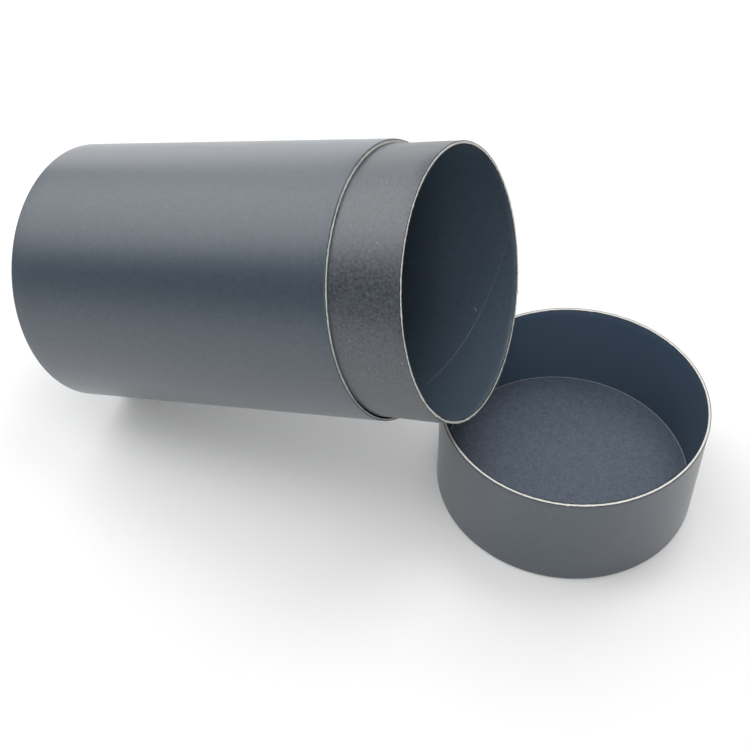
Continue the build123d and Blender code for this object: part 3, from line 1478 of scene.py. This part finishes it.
@dataclass(frozen=True)
class Lid(TubeHalf):
    """The lid standing on its curled end: its wall and the board in its bottom."""

    wear: RimWear = RimWear(seed=31, burr_middle=-75.6, burr_size=0.0005)
    lap: LapSeam = LapSeam(bearing=72.0)
    rim_oval: float = 0.0008
    rim_oval_bearing: float = 54.5
    fibre_count: int = 300
    tuft_count: int = 14
    tuft_spread: float = 0.5
    fibre_seed: int = 43
    bottom_seed: int = 22

    def build(self) -> list[bpy.types.Object]:
        """Makes the two pieces and the loose fibres on the rim."""
        return [
            self.wall(),
            self.end_board(self.sizes.lid_axis, self.bottom_seed, "lid_end_board", "lid_disc"),
            self.fibres().build(self.finishes),
        ]

    def oval(self) -> OutOfRound:
        """The open rim's slight oval, held round at the end board."""
        sizes = self.sizes
        return OutOfRound(self.rim_oval_bearing, self.rim_oval, sizes.board_high, sizes.lid_height)

    def fibres(self) -> RimFibres:
        """Loose fibres on the open rim, with a tuft at its burr."""
        sizes, board = self.sizes, self.board
        return RimFibres(
            name="lid_rim_fibres",
            slot="faced_board",
            axis=sizes.lid_axis,
            radius=sizes.outer_radius - board.corner,
            height=sizes.lid_height,
            band=board.wall - 2 * board.corner,
            count=self.fibre_count,
            seed=self.fibre_seed,
            oval=self.oval(),
            ragged_middle=self.wear.burr_middle,
            ragged_spread=self.tuft_spread,
            ragged_count=self.tuft_count,
        )

    def wall(self) -> bpy.types.Object:
        """The lid's wall, oval at its open rim."""
        sizes = self.sizes
        wall = CurledWall(
            sizes=sizes,
            board=self.board,
            axis=sizes.lid_axis,
            length=sizes.lid_height,
            wear=self.wear,
            lap=self.lap,
            oval=self.oval(),
        )
        finishes = self.worn(LID_PAPER, CUT_EDGE, LID_LINING)
        return wall.shape().piece("lid_wall", finishes, "faced_board", "lid_tube")


# Studio


@dataclass(frozen=True)
class Lamp:
    """A rectangular soft light, placed by its bearing from the camera's heading and its elevation."""

    name: str
    bearing: float
    elevation: float
    width: float
    height: float
    watts_per_area: float
    distance: float = 1.5

    def build(self, heading: float, middle: np.ndarray) -> bpy.types.Object:
        """Makes the light, aimed at the middle of the tube and unseen by the camera itself.

        Args:
            heading: The camera's heading, from which bearings are counted.
            middle: The point that the light is aimed at.

        Returns:
            The light's object.
        """
        turn, rise = math.radians(heading + self.bearing), math.radians(self.elevation)
        away = np.array((math.sin(turn) * math.cos(rise), math.cos(turn) * math.cos(rise), math.sin(rise)))
        side = np.array((math.cos(turn), -math.sin(turn), 0.0))
        data = bpy.data.lights.new(self.name, "AREA")
        data.shape = "RECTANGLE"
        data.size, data.size_y = self.width, self.height
        data.energy = self.watts_per_area * self.width * self.height
        made = added(self.name, data)
        made.visible_camera = False
        return turned(made, (side, np.cross(away, side), away), middle + away * self.distance)


LAMPS = (
    Lamp("left_soft", bearing=-67.5, elevation=40.0, width=1.54, height=1.09, watts_per_area=7.8),
    Lamp("left_back_soft", bearing=-22.5, elevation=40.0, width=0.46, height=1.09, watts_per_area=4.4),
    Lamp("low_back_strip", bearing=0.0, elevation=10.0, width=1.97, height=0.53, watts_per_area=5.8),
    Lamp("back_right_soft", bearing=33.75, elevation=40.0, width=0.95, height=1.09, watts_per_area=5.7),
    Lamp("top_right_soft", bearing=45.0, elevation=70.0, width=0.69, height=0.53, watts_per_area=14.2),
    Lamp("top_left_soft", bearing=-90.0, elevation=70.0, width=0.69, height=0.53, watts_per_area=9.4),
    Lamp("top_front_soft", bearing=168.75, elevation=70.0, width=1.03, height=0.53, watts_per_area=8.2),
    Lamp("front_soft", bearing=180.0, elevation=30.0, width=0.52, height=1.73, watts_per_area=9.4),
    Lamp("top_soft", bearing=0.0, elevation=89.0, width=0.5, height=0.5, watts_per_area=7.0),
)


@dataclass(frozen=True)
class PhotoCamera:
    """The camera at the photograph's viewpoint: its place, heading, dip, roll and lens."""

    place: tuple[float, float, float] = (0.144842, -0.333886, 0.418736)
    heading: float = -22.487
    dip: float = 47.714
    roll: float = -0.514
    sensor: float = 36.0
    lens: float = 65.005
    shift: tuple[float, float] = (-0.01266, 0.02408)
    clip: tuple[float, float] = (0.01, 50.0)

    def build(self) -> bpy.types.Object:
        """Makes the camera and sets it as the scene's."""
        heading, dip, roll = (math.radians(value) for value in (self.heading, self.dip, self.roll))
        right = np.array((math.cos(heading), -math.sin(heading), 0.0))
        level = np.array((math.sin(heading), math.cos(heading), 0.0))
        ahead = level * math.cos(dip) - np.array((0.0, 0.0, math.sin(dip)))
        down = np.cross(ahead, right)
        rolled_right = math.cos(roll) * right + math.sin(roll) * down
        rolled_down = math.cos(roll) * down - math.sin(roll) * right
        data = bpy.data.cameras.new("photo_camera")
        data.sensor_width, data.lens = self.sensor, self.lens
        data.shift_x, data.shift_y = self.shift
        data.clip_start, data.clip_end = self.clip
        made = turned(added("photo_camera", data), (rolled_right, -rolled_down, -ahead), self.place)
        bpy.context.scene.camera = made
        return made


@dataclass(frozen=True)
class Studio:
    """The plain studio: a pale floor, soft lights, a white backdrop and the camera."""

    camera: PhotoCamera = PhotoCamera()
    lamps: tuple[Lamp, ...] = LAMPS
    floor_radius: float = 5.0
    floor_gap: float = 0.00005
    floor_colour: Colour = (0.88, 0.88, 0.88)
    floor_rough: float = 0.6
    floor_shine: float = 0.3
    white_share: float = 0.15
    white_from: float = 0.45
    white_to: float = 1.1
    backdrop_rows: int = 24
    backdrop_columns: int = 64
    world_strength: float = 0.05

    def build(self) -> None:
        """Builds the camera, floor, backdrop, lamps and dim surroundings, and sets the view transform."""
        self.camera.build()
        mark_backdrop(self.floor(), self.backdrop())
        low, high = (np.array(corner) for corner in CAD_BOX)
        for lamp in self.lamps:
            lamp.build(self.camera.heading, (low + high) / 2)
        world = bpy.data.worlds.new("dim_surroundings")
        wiring = Wiring.of(world)
        sky = wiring.node("Background", {"Color": WHITE, "Strength": self.world_strength})
        wiring.node("OutputWorld", {"Surface": sky.outputs[0]})
        bpy.context.scene.world = world
        bpy.context.scene.view_settings.view_transform = "Standard"

    def floor(self) -> bpy.types.Object:
        """The pale floor: a square just under the tube, part white to the camera and all white far away."""
        half = self.floor_radius
        sides = ((-half, -half), (half, -half), (half, half), (-half, half))
        made = staged("floor", [(*side, -self.floor_gap) for side in sides], [(0, 1, 2, 3)], "pale_floor")
        wiring = Wiring.of(made.active_material)
        matte = wiring.node("BsdfPrincipled", {
            "Base Color": self.floor_colour,
            "Roughness": self.floor_rough,
            "Specular IOR Level": self.floor_shine,
        })
        white = wiring.node("Emission", {"Color": WHITE, "Strength": 1.0})
        ray = wiring.node("LightPath").outputs
        seen = wiring.math("MAXIMUM", ray["Is Camera Ray"], ray["Is Glossy Ray"])
        seen = wiring.math("MAXIMUM", seen, ray["Is Transmission Ray"])
        away = wiring.vector("LENGTH", wiring.node("TexCoord").outputs["Object"], output="Value")
        share = wiring.between(away, self.white_from, self.white_to, self.white_share, 1.0)
        share = wiring.math("MULTIPLY", seen, share)
        mixed = wiring.node("MixShader", {0: share, 1: matte.outputs[0], 2: white.outputs[0]})
        wiring.node("OutputMaterial", {"Surface": mixed.outputs[0]})
        return made

    def backdrop(self) -> bpy.types.Object:
        """The white backdrop: a half sphere on the floor's edge, seen by the camera, lighting nothing."""
        rows, columns = self.backdrop_rows, self.backdrop_columns
        rise, turn = np.meshgrid(
            np.linspace(0.0, FULL_TURN / 4, rows), np.arange(columns) * FULL_TURN / columns, indexing="ij"
        )
        ring = np.stack((np.cos(rise) * np.cos(turn), np.cos(rise) * np.sin(turn), np.sin(rise)), -1)
        corners = (ring * self.floor_radius).reshape(-1, 3) - np.array((0.0, 0.0, self.floor_gap))
        faces = ring_quads(rows, columns, False).tolist()
        made = staged("backdrop", corners.tolist(), faces, "white_backdrop")
        wiring = Wiring.of(made.active_material)
        white = wiring.node("Emission", {"Color": WHITE, "Strength": 1.0})
        wiring.node("OutputMaterial", {"Surface": white.outputs[0]})
        made.visible_diffuse = False
        made.visible_glossy = False
        made.visible_shadow = False
        return made


def staged(
    name: str, corners: Sequence[Sequence[float]], faces: Sequence[Sequence[int]], material: str
) -> bpy.types.Object:
    """Makes a plain mesh object of the studio.

    Args:
        name: The object's name.
        corners: Points of the mesh.
        faces: Corner numbers of each face.
        material: Name of the object's one new material.

    Returns:
        The object.
    """
    mesh = bpy.data.meshes.new(name)
    mesh.from_pydata(corners, [], faces)
    mesh.materials.append(bpy.data.materials.new(material))
    return added(name, mesh)


def main() -> None:
    """Builds the finishes, the body, the lid and the studio, and reports each piece."""
    logging.basicConfig(level=logging.INFO, format="%(name)s: %(message)s")
    effects = Effects()
    finishes = {finish.name: finish.made(effects) for finish in FINISHES}
    sizes = TubeSizes.from_frame(frame["record"])
    LOG.info("body %.1f mm, lid %.1f mm", sizes.body_length * MILLIMETRES, sizes.lid_height * MILLIMETRES)
    for made in Body(sizes, finishes).build() + Lid(sizes, finishes).build():
        LOG.info("%s: %d faces", made.name, len(made.data.polygons))
    Studio().build()
    boxes = {"cad": CAD_BOX, "visual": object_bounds()}
    boxes = {name: [list(corner) for corner in box] for name, box in boxes.items()}


if __name__ == "__main__":
    main()
